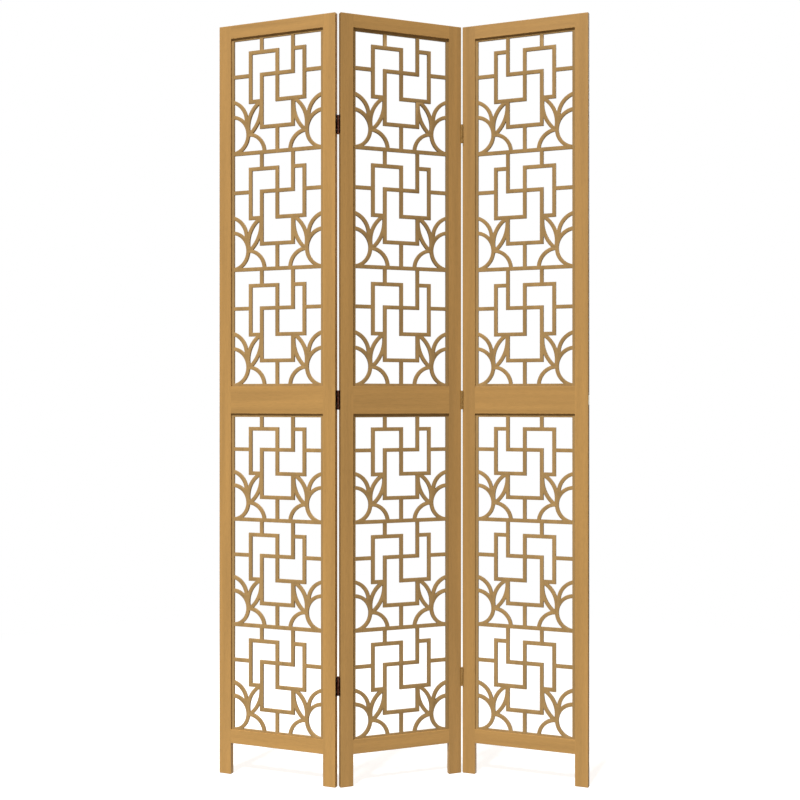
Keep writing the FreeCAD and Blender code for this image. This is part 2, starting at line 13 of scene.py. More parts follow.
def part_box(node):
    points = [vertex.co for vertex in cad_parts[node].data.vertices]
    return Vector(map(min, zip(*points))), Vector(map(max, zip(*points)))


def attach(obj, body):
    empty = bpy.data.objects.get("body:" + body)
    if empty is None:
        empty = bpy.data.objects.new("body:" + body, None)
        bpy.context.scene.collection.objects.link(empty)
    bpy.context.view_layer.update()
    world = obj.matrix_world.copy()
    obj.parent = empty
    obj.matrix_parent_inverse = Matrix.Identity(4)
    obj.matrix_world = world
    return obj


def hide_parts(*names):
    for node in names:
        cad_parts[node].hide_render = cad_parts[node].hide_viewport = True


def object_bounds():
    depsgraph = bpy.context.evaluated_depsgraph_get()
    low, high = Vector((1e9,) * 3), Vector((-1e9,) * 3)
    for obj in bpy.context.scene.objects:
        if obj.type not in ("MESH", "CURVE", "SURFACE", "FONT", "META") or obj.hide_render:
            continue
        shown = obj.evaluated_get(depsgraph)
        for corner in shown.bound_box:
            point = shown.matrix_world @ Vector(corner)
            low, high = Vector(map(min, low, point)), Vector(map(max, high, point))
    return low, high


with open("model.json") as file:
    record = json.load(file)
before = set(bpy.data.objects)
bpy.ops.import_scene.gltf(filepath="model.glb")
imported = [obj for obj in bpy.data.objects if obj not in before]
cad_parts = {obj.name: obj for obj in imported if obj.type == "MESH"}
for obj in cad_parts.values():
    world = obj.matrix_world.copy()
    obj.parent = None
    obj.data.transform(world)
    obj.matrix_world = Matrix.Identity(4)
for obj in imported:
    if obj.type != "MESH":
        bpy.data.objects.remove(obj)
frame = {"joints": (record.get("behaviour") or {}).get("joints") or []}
cad_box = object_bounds()
bpy.ops.object.select_all(action="DESELECT")
print("the screen measures", [round(high - low, 4) for low, high in zip(*cad_box)])

# %% [markdown]
# The three panels are alike, so each piece is modelled once, in the place of a panel that stands square
# on the origin, and then set in the place of its own panel. The places come from the hinge axes: laid
# flat, a panel stands its own width and a small gap beside the next, and the zigzag turns it about the
# hinge axis between them.

# %% Sizes of a panel, in metres
PANEL_WIDTH = 0.290
PANEL_GAP = 0.001
PANEL_HEIGHT = cad_box[1][2]
THICKNESS = 0.012
STILE_WIDTH = 0.030
RAIL_HEIGHT = 0.030
BOTTOM_RAIL_HEIGHT = 0.0315
MID_RAIL_HEIGHT = 0.0617
MID_RAIL_LEVEL = 0.8193
LEG_HEIGHT = 0.0705
GROOVE_WIDTH = 0.0052
GROOVE_DEPTH = 0.0055
ARRIS = 0.001
OVERRUN = 0.002
FIELD_WIDTH = PANEL_WIDTH - 2 * STILE_WIDTH
UPPER_FLOOR = MID_RAIL_LEVEL + MID_RAIL_HEIGHT
LOWER_FLOOR = LEG_HEIGHT + BOTTOM_RAIL_HEIGHT
UPPER_FIELD = PANEL_HEIGHT - RAIL_HEIGHT - UPPER_FLOOR
LOWER_FIELD = MID_RAIL_LEVEL - LOWER_FLOOR
print("the openings are", [round(height, 4) for height in (LOWER_FIELD, UPPER_FIELD)], "high")

# %% Places of the panels
joints = {joint["name"]: joint for joint in frame["joints"]}
flat_turn = radians(joints["left_fold"]["range_deg"][1])
fold_axis = Vector(joints["left_fold"]["pos_m"])
fold_axis.z = 0


def turned(angle):
    return Matrix.Rotation(angle, 4, "Z")


middle_place = turned(flat_turn / 2)
beside = Matrix.Translation((-PANEL_WIDTH - PANEL_GAP, 0, 0))
to_axis = Matrix.Translation(fold_axis)
left_place = to_axis @ turned(-flat_turn) @ to_axis.inverted() @ middle_place @ beside
PLACES = {
    "left": left_place,
    "middle": middle_place,
    "right": turned(pi) @ left_place,
}
TURNS = {panel: place.to_euler().z for panel, place in PLACES.items()}
print("the panels are turned", {panel: round(turn, 4) for panel, turn in TURNS.items()})

# %% [markdown]
# The camera stands level with the middle of the screen, so the uprights stay upright in the picture, and
# close enough that the near edges of the zigzag are a little taller than the far ones.

# %% The camera
CAMERA_PLACE = Vector((-0.0025, -2.644, 0.850))
CAMERA_LENS = 53.11

bpy.ops.object.camera_add(location=CAMERA_PLACE, rotation=(pi / 2, 0, 0))
camera = bpy.context.object
camera.name = "studio_camera"
camera.data.lens = CAMERA_LENS
bpy.context.scene.camera = camera
bpy.ops.object.select_all(action="DESELECT")

# %% [markdown]
# Plain studio light. A sun that stands high in front, on the left, lights the outer panels a little more
# than the middle one, and draws the thin shadow of the rails on the recessed boards. A weaker, very wide
# sun from behind lights the back and the far sides of the bars. The world adds a warm fill. Seen directly,
# or in a reflection, the world is white.

# %% The suns
KEY_STRENGTH = 4.10
KEY_AZIMUTH = radians(25)
KEY_ELEVATION = radians(53)
KEY_WIDTH = radians(8)
BACK_STRENGTH = 1.6
BACK_AZIMUTH = radians(-140)
BACK_ELEVATION = radians(30)
BACK_WIDTH = radians(50)


def add_sun(name, strength, azimuth, elevation, width):
    """A sun that stands that far to the left of the camera's line, and that high."""
    bpy.ops.object.light_add(type="SUN", rotation=(pi / 2 - elevation, 0, -azimuth))
    sun = bpy.context.object
    sun.name = name
    sun.data.energy = strength
    sun.data.angle = width
    bpy.ops.object.select_all(action="DESELECT")


scene = bpy.context.scene
scene.view_settings.view_transform = "Standard"
add_sun("key_sun", KEY_STRENGTH, KEY_AZIMUTH, KEY_ELEVATION, KEY_WIDTH)
add_sun("back_sun", BACK_STRENGTH, BACK_AZIMUTH, BACK_ELEVATION, BACK_WIDTH)


# %% Helpers for shaders
def clear_tree(owner):
    """The node tree of a world or a material, with nothing in it."""
    owner.use_nodes = True
    owner.node_tree.nodes.clear()
    return owner.node_tree


def set_inputs(tree, node, inputs):
    """Gives a node's inputs, by name or number, a plain value or the output of another node."""
    for key, value in inputs.items():
        if isinstance(value, bpy.types.NodeSocket):
            tree.links.new(value, node.inputs[key])
        else:
            node.inputs[key].default_value = value


def add_node(tree, kind, inputs=None, **settings):
    """A shader node, with its properties set by name and then its inputs."""
    node = tree.nodes.new(kind)
    for key, value in settings.items():
        setattr(node, key, value)
    set_inputs(tree, node, inputs or {})
    return node


def mixed(tree, share, first, second):
    """A mix of two shaders that goes from the first to the second as the share goes from 0 to 1."""
    return add_node(tree, "ShaderNodeMixShader", {0: share, 1: first, 2: second}).outputs[0]


def ranged(tree, value, limits, results=(0, 1), **settings):
    """A value brought from the range between its limits to the range of the results."""
    inputs = {
        "Value": value,
        "From Min": limits[0],
        "From Max": limits[1],
        "To Min": results[0],
        "To Max": results[1],
    }
    return add_node(tree, "ShaderNodeMapRange", inputs, **settings).outputs[0]


def two_tones(tree, value, limits, dark, light):
    """A colour that goes from dark to light as a value goes from one limit to the other."""
    ramp = add_node(tree, "ShaderNodeValToRGB", {"Fac": value})
    for element, limit, tone in zip(ramp.color_ramp.elements, limits, (dark, light)):
        element.position = limit
        element.color = tone
    return ramp.outputs["Color"]


def seen_directly(tree):
    """1 for a ray from the camera, a reflection or a transmission, and else 0."""
    path = add_node(tree, "ShaderNodeLightPath")
    seen = path.outputs["Is Camera Ray"]
    for kind in ("Is Glossy Ray", "Is Transmission Ray"):
        either = add_node(tree, "ShaderNodeMath", {0: seen, 1: path.outputs[kind]}, operation="MAXIMUM")
        seen = either.outputs[0]
    return seen


# %% The world
FILL_STRENGTH = 0.30
FILL_COLOUR = (0.97, 0.76, 0.52, 1)
WHITE = (1, 1, 1, 1)

world = bpy.data.worlds.new("studio_world")
scene.world = world
tree = clear_tree(world)
fill = add_node(tree, "ShaderNodeBackground", {"Color": FILL_COLOUR, "Strength": FILL_STRENGTH})
white = add_node(tree, "ShaderNodeBackground", {"Color": WHITE, "Strength": 1})
backdrop = mixed(tree, seen_directly(tree), fill.outputs[0], white.outputs[0])
add_node(tree, "ShaderNodeOutputWorld", {"Surface": backdrop})

# %% [markdown]
# The floor is a pale disc that fades into the white of the world, so that it has no edge. Near the screen
# it is matt paint that also shines a little by itself, which leaves only a faint, soft shadow at the feet.
# It gives less light back to the screen than it shows, so that the legs don't turn paler than the rest.

# %% The floor
FLOOR_RADIUS = 2.4
FLOOR_SIDES = 96
FADE_LIMITS = (0.55, 0.9 * FLOOR_RADIUS)
FLOOR_PAINT = (0.50, 0.50, 0.50, 1)
FLOOR_SHINE = 0.72
FLOOR_RETURN = (0.30, 0.30, 0.30, 1)

bpy.ops.mesh.primitive_circle_add(vertices=FLOOR_SIDES, radius=FLOOR_RADIUS, fill_type="NGON")
floor = bpy.context.object
floor.name = "studio_floor"
material = bpy.data.materials.new("floor_paint")
tree = clear_tree(material)
spot = add_node(tree, "ShaderNodeTexCoord")
reach = add_node(tree, "ShaderNodeVectorMath", {0: spot.outputs["Object"]}, operation="LENGTH")
fade = ranged(tree, reach.outputs["Value"], FADE_LIMITS, interpolation_type="SMOOTHSTEP")
paint = add_node(tree, "ShaderNodeBsdfDiffuse", {"Color": FLOOR_PAINT})
shine = add_node(tree, "ShaderNodeEmission", {"Strength": FLOOR_SHINE})
near_floor = add_node(tree, "ShaderNodeAddShader", {0: paint.outputs[0], 1: shine.outputs[0]})
far_floor = add_node(tree, "ShaderNodeEmission", {"Strength": 1})
shown = mixed(tree, fade, near_floor.outputs[0], far_floor.outputs[0])
given_back = add_node(tree, "ShaderNodeBsdfDiffuse", {"Color": FLOOR_RETURN})
surface = mixed(tree, seen_directly(tree), given_back.outputs[0], shown)
add_node(tree, "ShaderNodeOutputMaterial", {"Surface": surface})
floor.data.materials.append(material)
bpy.ops.object.select_all(action="DESELECT")
print("the floor reaches", FLOOR_RADIUS, "m, and fades from", FADE_LIMITS[0], "m on")

# %% [markdown]
# The wood is pale, with a golden brown stain. Its grain is faint: long soft bands along each member and fine
# pores. The pattern reads Object coordinates, turned square to the panel, so that the bands run along the
# member on every panel. The frame is lacquered to a satin sheen, apart from the outer edges of its stiles,
# which are matt like the boards. The boards are greyer than the frame. Each member has a share of the full
# tone, and most of what differs is painted shade: the middle panel, which is turned from the key sun, is
# painted darker, and the left stile of the right panel, beside the fold, is painted darker still. The sawn
# edges of the boards and the outer edges of the stiles carry painted light and shade of their own: they are
# painted lighter on the left panel, where the key sun leaves them in shade, and darkest of all on the other
# two panels.

# %% The wood
WOOD_COLOUR = (0.482, 0.274, 0.084)
BOARD_COLOUR = (0.405, 0.260, 0.108)
BAND_TONES = (0.86, 1.04)
# Shares of the full tone, which hold painted shade: the middle panel and the left stile of the right panel
# are painted darker, and the sawn and outer edges are painted lighter on the left panel, darker on the rest.
MEMBER_TONES_AND_PAINTED_LIGHT = {
    "left": {"left": 0.98, "right": 0.98, "level": 0.97, "board": 1.00, "sawn": 0.95, "edge": 1.15},
    "middle": {"left": 0.90, "right": 0.86, "level": 0.94, "board": 0.91, "sawn": 0.63, "edge": 0.56},
    "right": {"left": 0.80, "right": 0.93, "level": 0.92, "board": 0.94, "sawn": 0.64, "edge": 0.52},
}
MATT_MEMBERS = ("board", "sawn", "edge")
BAND_WIDTH = 0.016
BAND_LENGTH = 0.42
BAND_DETAIL = 3
BAND_LIMITS = (0.32, 0.66)
PORE_WIDTH = 0.0009
PORE_LENGTH = 0.014
PORE_DETAIL = 2
PORE_LIMITS = (0.30, 0.55)
PORE_TONES = (0.88, 1.0)
PORE_DEPTH = 0.0002
PORE_STRENGTH = 0.12
GRAIN_ROUGHNESS = 0.55
GRAIN_SHIFT = 0.37
WOOD_ROUGHNESS = 0.46
SATIN_SHEEN = 0.35
MATT_SHEEN = 0.05


def shaded(colour, share):
    return tuple(channel * share for channel in colour) + (1.0,)


def wood(name, colour, turn, upright, shift, share, sheen):
    """Stained wood whose grain runs up the member, or across the panel, at a share of the full tone, which
    carries painted light and shade.
    """
    material = bpy.data.materials.new(name)
    material.use_nodes = True
    tree = material.node_tree
    place = add_node(tree, "ShaderNodeTexCoord")
    square = add_node(tree, "ShaderNodeMapping", {
        "Vector": place.outputs["Object"],
        "Location": (shift, shift / 3, shift / 7),
        "Rotation": (0, 0, -turn),
    }, vector_type="POINT")

    def grain(width, length, detail):
        """Noise that is drawn out along the grain."""
        narrow = 1 / width
        long = 1 / length
        stretch = add_node(tree, "ShaderNodeMapping", {
            "Vector": square.outputs[0],
            "Scale": (narrow, narrow, long) if upright else (long, narrow, narrow),
        }, vector_type="POINT")
        noise = add_node(tree, "ShaderNodeTexNoise", {
            "Vector": stretch.outputs[0],
            "Scale": 1,
            "Detail": detail,
            "Roughness": GRAIN_ROUGHNESS,
        })
        return noise.outputs["Fac"]

    deep, pale = (shaded(colour, tone * share) for tone in BAND_TONES)
    pores = grain(PORE_WIDTH, PORE_LENGTH, PORE_DETAIL)
    stain = add_node(tree, "ShaderNodeMix", {
        "Factor": 1,
        "A": two_tones(tree, grain(BAND_WIDTH, BAND_LENGTH, BAND_DETAIL), BAND_LIMITS, deep, pale),
        "B": ranged(tree, pores, PORE_LIMITS, PORE_TONES),
    }, data_type="RGBA", blend_type="MULTIPLY")
    bump = add_node(tree, "ShaderNodeBump", {
        "Height": pores,
        "Strength": PORE_STRENGTH,
        "Distance": PORE_DEPTH,
    })
    set_inputs(tree, tree.nodes["Principled BSDF"], {
        "Base Color": stain.outputs["Result"],
        "Normal": bump.outputs[0],
        "Roughness": WOOD_ROUGHNESS,
        "Specular IOR Level": sheen,
    })
    return material


WOODS = {}
for number, (panel, turn) in enumerate(TURNS.items()):
    for word, share in MEMBER_TONES_AND_PAINTED_LIGHT[panel].items():
        name = "stain_and_painted_light_%s_%s" % (panel, word)
        colour = BOARD_COLOUR if word in ("board", "sawn") else WOOD_COLOUR
        sheen = MATT_SHEEN if word in MATT_MEMBERS else SATIN_SHEEN
        upright = word != "level"
        WOODS[panel, word] = wood(name, colour, turn, upright, GRAIN_SHIFT * number, share, sheen)
print("there are", len(WOODS), "woods")

# %% [markdown]
# The hinges are antique brass. Their leaves and the barrels of the left fold are painted nearly black, as
# shade: the leaves lie in the narrow joints between the stiles, and the left fold's barrels stand at the
# back, out of the light. The barrels of the right fold, which stand in front, are olive brown, as the brass
# looks in the light. The screws of the leaves are aged steel, the small plate is dull zinc, and its two
# screws are
# dark. All come from one recipe: a metal whose tone and roughness wander a little.

# %% The metals
STAIN_DETAIL = 4
STAIN_LIMITS = (0.35, 0.65)
WEAR_SMOOTHER = 0.08
WEAR_ROUGHER = 0.12
BRASS_PATCH = 0.004
SCREW_PATCH = 0.002
PLATE_PATCH = 0.005


def metal(name, dark, light, roughness, patch):
    """Metal whose colour wanders between two tones over patches of that size."""
    material = bpy.data.materials.new(name)
    material.use_nodes = True
    tree = material.node_tree
    place = add_node(tree, "ShaderNodeTexCoord")
    stain = add_node(tree, "ShaderNodeTexNoise", {
        "Vector": place.outputs["Object"],
        "Scale": 1 / patch,
        "Detail": STAIN_DETAIL,
    }).outputs["Fac"]
    set_inputs(tree, tree.nodes["Principled BSDF"], {
        "Base Color": two_tones(tree, stain, STAIN_LIMITS, (*dark, 1), (*light, 1)),
        "Roughness": ranged(tree, stain, (0, 1), (roughness - WEAR_SMOOTHER, roughness + WEAR_ROUGHER)),
        "Metallic": 1,
    })
    return material


# Painted shade: the leaves are nearly black, as they lie in the shade of the joints.
LEAF_BRASS = metal(
    "antique_brass_painted_shade_leaf", (0.016, 0.003, 0.001), (0.042, 0.010, 0.004), 0.50, BRASS_PATCH,
)
# Painted shade: the barrels of the left fold are darker than those of the right, as they stand at the back,
# out of the light.
BARREL_BRASS = {
    "left": metal(
        "antique_brass_painted_shade_barrel", (0.10, 0.036, 0.022), (0.21, 0.085, 0.055), 0.45, BRASS_PATCH,
    ),
    "right": metal(
        "antique_brass_olive_barrel", (0.24, 0.140, 0.042), (0.36, 0.220, 0.078), 0.42, BRASS_PATCH,
    ),
}
SCREW_METAL = metal("aged_screw_steel", (0.16, 0.13, 0.10), (0.34, 0.29, 0.23), 0.38, SCREW_PATCH)
PLATE_METAL = metal("dull_zinc_plate", (0.42, 0.37, 0.26), (0.60, 0.53, 0.40), 0.40, PLATE_PATCH)
PLATE_SCREW_METAL = metal(
    "dark_screw_steel", (0.05, 0.035, 0.015), (0.11, 0.08, 0.04), 0.45, SCREW_PATCH,
)

# %% [markdown]
# Each opening holds a fretwork board, sawn from one thin sheet: three repeats of a tile of interlocked
# rectangles and leaves. Its outline has hundreds of points, so it isn't drawn by hand: each bar is a box,
# each arc is a strip spun about its centre, and a union makes one body of them. The pattern is laid out
# in the same way on a real board, by centre lines and compass arcs.

# %% Helpers for shaping
def only(piece):
    """Selects one piece and makes it the active one."""
    bpy.ops.object.select_all(action="DESELECT")
    piece.select_set(True)
    bpy.context.view_layer.objects.active = piece


def settle(piece, place=None):
    """Sets the piece down, turned and scaled as it stands, and gives its place to its mesh."""
    only(piece)
    if place is not None:
        piece.matrix_world = place @ piece.matrix_world
    bpy.ops.object.transform_apply(location=True, rotation=True, scale=True)
    return piece


def box(low, high):
    """A box between two corners."""
    middle = [(a + b) / 2 for a, b in zip(low, high)]
    extent = [b - a for a, b in zip(low, high)]
    bpy.ops.mesh.primitive_cube_add(size=1, location=middle, scale=extent)
    return settle(bpy.context.object)


def copied(piece):
    """A copy with a mesh of its own."""
    only(piece)
    bpy.ops.object.duplicate()
    return bpy.context.object


def delete(pieces):
    bpy.ops.object.select_all(action="DESELECT")
    for piece in pieces:
        piece.select_set(True)
    bpy.ops.object.delete()


def combine(piece, tools, operation):
    """Adds, cuts or keeps what is common with all tools at once, and takes the tools away."""
    gathered = bpy.data.collections.new("tools")
    for tool in tools:
        gathered.objects.link(tool)
    change = piece.modifiers.new("combine", "BOOLEAN")
    change.operation = operation
    change.solver = "MANIFOLD"
    change.operand_type = "COLLECTION"
    change.collection = gathered
    only(piece)
    bpy.ops.object.modifier_apply(modifier=change.name)
    delete(tools)
    bpy.data.collections.remove(gathered)
    return piece


# %% Bars and arcs
BAR_WIDTH = 0.0085
BLANK_DEPTH = 0.02
ARC_STEP = radians(5)
LEAST_STEPS = 4


def bar(start, end):
    """A straight bar along a centre line, with ends that reach half its width past the line's ends."""
    half = BAR_WIDTH / 2
    low = (min(start[0], end[0]) - half, -BLANK_DEPTH / 2, min(start[1], end[1]) - half)
    high = (max(start[0], end[0]) + half, BLANK_DEPTH / 2, max(start[1], end[1]) + half)
    return box(low, high)


def circle_through(a, b, c):
    """The centre of the circle through three points."""
    ab = b - a
    ac = c - a
    area = 2 * (ab.x * ac.y - ab.y * ac.x)
    across = (ac.y * ab.length_squared - ab.y * ac.length_squared) / area
    up = (ab.x * ac.length_squared - ac.x * ab.length_squared) / area
    return a + Vector((across, up))


def arc(start, middle, end):
    """A curved bar: a strip that stands across the arc's start is spun to its end."""
    start, middle, end = Vector(start), Vector(middle), Vector(end)
    centre = circle_through(start, middle, end)
    spokes = [point - centre for point in (start, middle, end)]
    sweep = -sum(first.angle_signed(second) for first, second in zip(spokes, spokes[1:]))
    slope = atan2(spokes[0].y, spokes[0].x)
    bpy.ops.mesh.primitive_plane_add(size=1, location=(start.x, 0, start.y), rotation=(0, -slope, 0))
    strip = bpy.context.object
    strip.scale = (BAR_WIDTH, BLANK_DEPTH, 1)
    settle(strip)
    bpy.ops.object.mode_set(mode="EDIT")
    bpy.ops.mesh.select_all(action="SELECT")
    steps = max(LEAST_STEPS, round(abs(sweep) / ARC_STEP))
    bpy.ops.mesh.spin(steps=steps, angle=sweep, center=(centre.x, 0, centre.y), axis=(0, 1, 0))
    bpy.ops.mesh.select_all(action="SELECT")
    bpy.ops.mesh.normals_make_consistent(inside=False)
    bpy.ops.object.mode_set(mode="OBJECT")
    return strip


# %% [markdown]
# The tile's lines are shares of its width and height, so the taller tiles of the upper board and the lower
# ones of the lower board come from the same list. A point of a curve is a share of the width out from the
# middle, and a share of the height down from the top.

# %% The tile
INNER_COLUMN = 0.170 * FIELD_WIDTH
OUTER_COLUMN = 0.2926 * FIELD_WIDTH
ROW_SHARES = (0.1414, 0.336, 0.561, 0.7847)
ARC_REACH = 0.180 * FIELD_WIDTH
ARC_DROP_SHARE = 0.160
CROWN_POINTS = ((0.5, 0.5475), (0.357, 0.6464), (0.342, 0.7605))
INNER_BLADE_POINTS = ((0.1783, 0.5677), (0.2017, 0.7224), (0.320, 0.853))
OUTER_BLADE_POINTS = ((0.1865, 0.5677), (0.298, 0.6844), (0.3096, 0.840))
TILE_COUNT = 3


def tile(pitch):
    """One tile, with its top edge at level zero."""
    edge = FIELD_WIDTH / 2
    inner = INNER_COLUMN
    outer = OUTER_COLUMN
    top, cross, low, foot = [-share * pitch for share in ROW_SHARES]
    lines = [
        # the left rectangle, with its drop from the tile's top
        ((-inner, 0), (-inner, top)),
        ((-outer, top), (0, top)),
        ((-outer, top), (-outer, low)),
        ((-outer, low), (-inner, low)),
        # the right rectangle, with the long drop
        ((inner, 0), (inner, cross)),
        ((inner, top), (outer, top)),
        ((outer, top), (outer, low)),
        ((0, low), (outer, low)),
        # the upright and the cross bar that lock the rectangles
        ((0, top), (0, low)),
        ((-inner, cross), (inner, cross)),
        # the lower rectangle and its foot
        ((-inner, cross), (-inner, foot)),
        ((-inner, foot), (inner, foot)),
        ((inner, low), (inner, foot)),
        ((0, foot), (0, -pitch)),
        # stubs out to the frame, and the foot bar of the tile
        ((-edge, cross), (-outer, cross)),
        ((outer, cross), (edge, cross)),
        ((-edge, -pitch), (edge, -pitch)),
    ]
    drop = ARC_DROP_SHARE * pitch
    slant = sin(pi / 4)
    side = edge - ARC_REACH
    curves = []
    for hand in (-1, 1):
        joint = (hand * side, drop - pitch)
        # the half round on the frame, and the quarter round next to it
        curves.append(((hand * edge, 2 * drop - pitch), joint, (hand * edge, -pitch)))
        curves.append((
            joint,
            (hand * (side - ARC_REACH * slant), drop * slant - pitch),
            (hand * (side - ARC_REACH), -pitch),
        ))
        # the crown arc that springs from the frame, and the two blades of the leaf
        for points in (CROWN_POINTS, INNER_BLADE_POINTS, OUTER_BLADE_POINTS):
            curves.append([(hand * across * FIELD_WIDTH, -down * pitch) for across, down in points])
    bars = [bar(*line) for line in lines] + [arc(*curve) for curve in curves]
    return combine(bars[0], bars[1:], "UNION")


sample = tile(UPPER_FIELD / TILE_COUNT)
print("a tile has", len(sample.data.polygons), "faces, and is", [round(v, 4) for v in sample.dimensions])
delete([sample])

# %% [markdown]
# Three tiles and a border are joined, and trimmed to the sheet's size. A cut through the middle leaves
# only the outline. As a flat curve it gets back the sheet's thickness, and with it the slightly rounded
# edge that sanding gives a sawn board, which is even round every corner of the fretwork.

# %% The fretwork boards
BOARD_THICKNESS = 0.005
BOARD_SEAT = 0.005
SIDE_BORDER = 0.0065
BOARD_EASE = 0.0004
COLLINEAR = radians(0.5)
SMOOTH_LIMIT = radians(35)
MERGE_DISTANCE = 0.00002


def fret_board(field_height, head_border, foot_border, lift):
    """A board, with the top of its opening at level zero and its pattern lifted by so much."""
    pitch = field_height / TILE_COUNT
    half = FIELD_WIDTH / 2
    first = settle(tile(pitch), Matrix.Translation((0, 0, lift)))
    tiles = [first]
    for number in range(1, TILE_COUNT):
        tiles.append(settle(copied(first), Matrix.Translation((0, 0, -number * pitch))))
    deep = BLANK_DEPTH / 2
    side = half + BOARD_SEAT
    board = box((-side, -deep, -field_height - BOARD_SEAT), (side, deep, BOARD_SEAT))
    sheet = copied(board)
    inset = half - SIDE_BORDER
    window = box((-inset, -2 * deep, foot_border - field_height), (inset, 2 * deep, -head_border))
    combine(board, [window], "DIFFERENCE")
    combine(board, tiles, "UNION")
    combine(board, [sheet], "INTERSECT")
    bpy.ops.object.mode_set(mode="EDIT")
    bpy.ops.mesh.select_all(action="SELECT")
    bpy.ops.mesh.bisect(plane_co=(0, 0, 0), plane_no=(0, 1, 0), clear_inner=True, clear_outer=True)
    bpy.ops.mesh.select_all(action="SELECT")
    bpy.ops.mesh.remove_doubles(threshold=MERGE_DISTANCE)
    bpy.ops.mesh.dissolve_limited(angle_limit=COLLINEAR)
    bpy.ops.object.mode_set(mode="OBJECT")
    settle(board, Matrix.Rotation(-pi / 2, 4, "X"))
    print("the outline has", len(board.data.vertices), "points")
    bpy.ops.object.convert(target="CURVE")
    outline = bpy.context.object
    outline.data.dimensions = "2D"
    outline.data.fill_mode = "BOTH"
    outline.data.extrude = BOARD_THICKNESS / 2 - BOARD_EASE
    outline.data.bevel_depth = BOARD_EASE
    outline.data.bevel_resolution = 1
    outline.data.offset = -BOARD_EASE
    bpy.ops.object.convert(target="MESH")
    board = bpy.context.object
    bpy.ops.object.mode_set(mode="EDIT")
    bpy.ops.mesh.select_all(action="SELECT")
    bpy.ops.mesh.remove_doubles(threshold=MERGE_DISTANCE)
    bpy.ops.mesh.normals_make_consistent(inside=False)
    bpy.ops.object.mode_set(mode="OBJECT")
    settle(board, Matrix.Rotation(pi / 2, 4, "X"))
    bpy.ops.object.shade_smooth_by_angle(angle=SMOOTH_LIMIT)
    return board


BOARDS = {
    "upper": fret_board(UPPER_FIELD, head_border=0.0063, foot_border=0.0055, lift=0.0011),
    "lower": fret_board(LOWER_FIELD, head_border=0.0078, foot_border=0.0035, lift=-0.0005),
}
settle(BOARDS["upper"], Matrix.Translation((0, 0, PANEL_HEIGHT - RAIL_HEIGHT)))
settle(BOARDS["lower"], Matrix.Translation((0, 0, MID_RAIL_LEVEL)))
for word, board in BOARDS.items():
    print(word, "board:", len(board.data.polygons), "faces,", [round(v, 4) for v in board.dimensions])

# %% [markdown]
# A finished piece takes the place of its construction solid: it rides on the same body, it stands for
# that solid and takes its name, and the solid is hidden. The distance between the two boxes is printed, to
# show at once a piece that is out of place.

# %% Dressing a piece
SAWN_LIMIT = 0.5


def dress(piece, node, body, materials, place, second=None):
    """Gives a shaped piece its finish and its place, names it after its solid and hides that solid.

    The faces that the test picks, before the piece is moved, get the second material.
    """
    piece.data.materials.clear()
    for material in materials:
        piece.data.materials.append(material)
    if second is not None:
        for face in piece.data.polygons:
            face.material_index = int(second(face))
    settle(piece, place)
    piece.name = node + "_finished"
    piece.data.name = piece.name
    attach(piece, body)
    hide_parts(node)
    corners = [Vector(vertex.co) for vertex in piece.data.vertices]
    own = [[pick(corner[axis] for corner in corners) for axis in range(3)] for pick in (min, max)]
    apart = max(abs(a - b) for mine, cad in zip(own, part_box(node)) for a, b in zip(mine, cad))
    print("%s: %d faces, %.2f mm from its solid's box" % (node, len(piece.data.polygons), apart * 1000))
    bpy.ops.object.select_all(action="DESELECT")


def sawn(face):
    """Whether a face of a board looks sideways, as a sawn edge does."""
    return abs(face.normal.y) < SAWN_LIMIT


# %% The boards in their panels
for panel, place in PLACES.items():
    for word, board in BOARDS.items():
        dress(
            copied(board), "%s_panel_%s_lattice" % (panel, word), panel + "_panel",
            [WOODS[panel, "board"], WOODS[panel, "sawn"]], place, sawn,
        )
delete(BOARDS.values())

# %% [markdown]
# The frame is plain joinery: stiles that run down to the floor as legs, and rails with stub tenons. Its
# outer corners are rounded a little, as sandpaper leaves them. A cube gets its edges bevelled by their
# place, and the groove, the mortises and the beds of the hinges are cut afterwards, so they stay sharp.

# %% Rounding chosen edges
def round_edges(piece, radius, wanted, segments=3):
    """Rounds the edges that a test picks by their middle point and their run."""
    only(piece)
    bpy.ops.object.mode_set(mode="EDIT")
    bpy.ops.mesh.select_mode(type="EDGE")
    bpy.ops.mesh.select_all(action="DESELECT")
    bpy.ops.object.mode_set(mode="OBJECT")
    points = [vertex.co.copy() for vertex in piece.data.vertices]
    for edge in piece.data.edges:
        start, end = (points[number] for number in edge.vertices)
        edge.select = wanted((start + end) / 2, end - start)
    bpy.ops.object.mode_set(mode="EDIT")
    bpy.ops.mesh.bevel(offset=radius, segments=segments, affect="EDGES", clamp_overlap=True)
    bpy.ops.object.mode_set(mode="OBJECT")
    return piece


def slice_at(piece, levels):
    """Adds a ring of edges round a piece at each level, and takes nothing away."""
    only(piece)
    bpy.ops.object.mode_set(mode="EDIT")
    for level in levels:
        bpy.ops.mesh.select_all(action="SELECT")
        bpy.ops.mesh.bisect(plane_co=(0, 0, level), plane_no=(0, 0, 1))
    bpy.ops.object.mode_set(mode="OBJECT")
    return piece


def near(value, goal):
    return abs(value - goal) < MERGE_DISTANCE


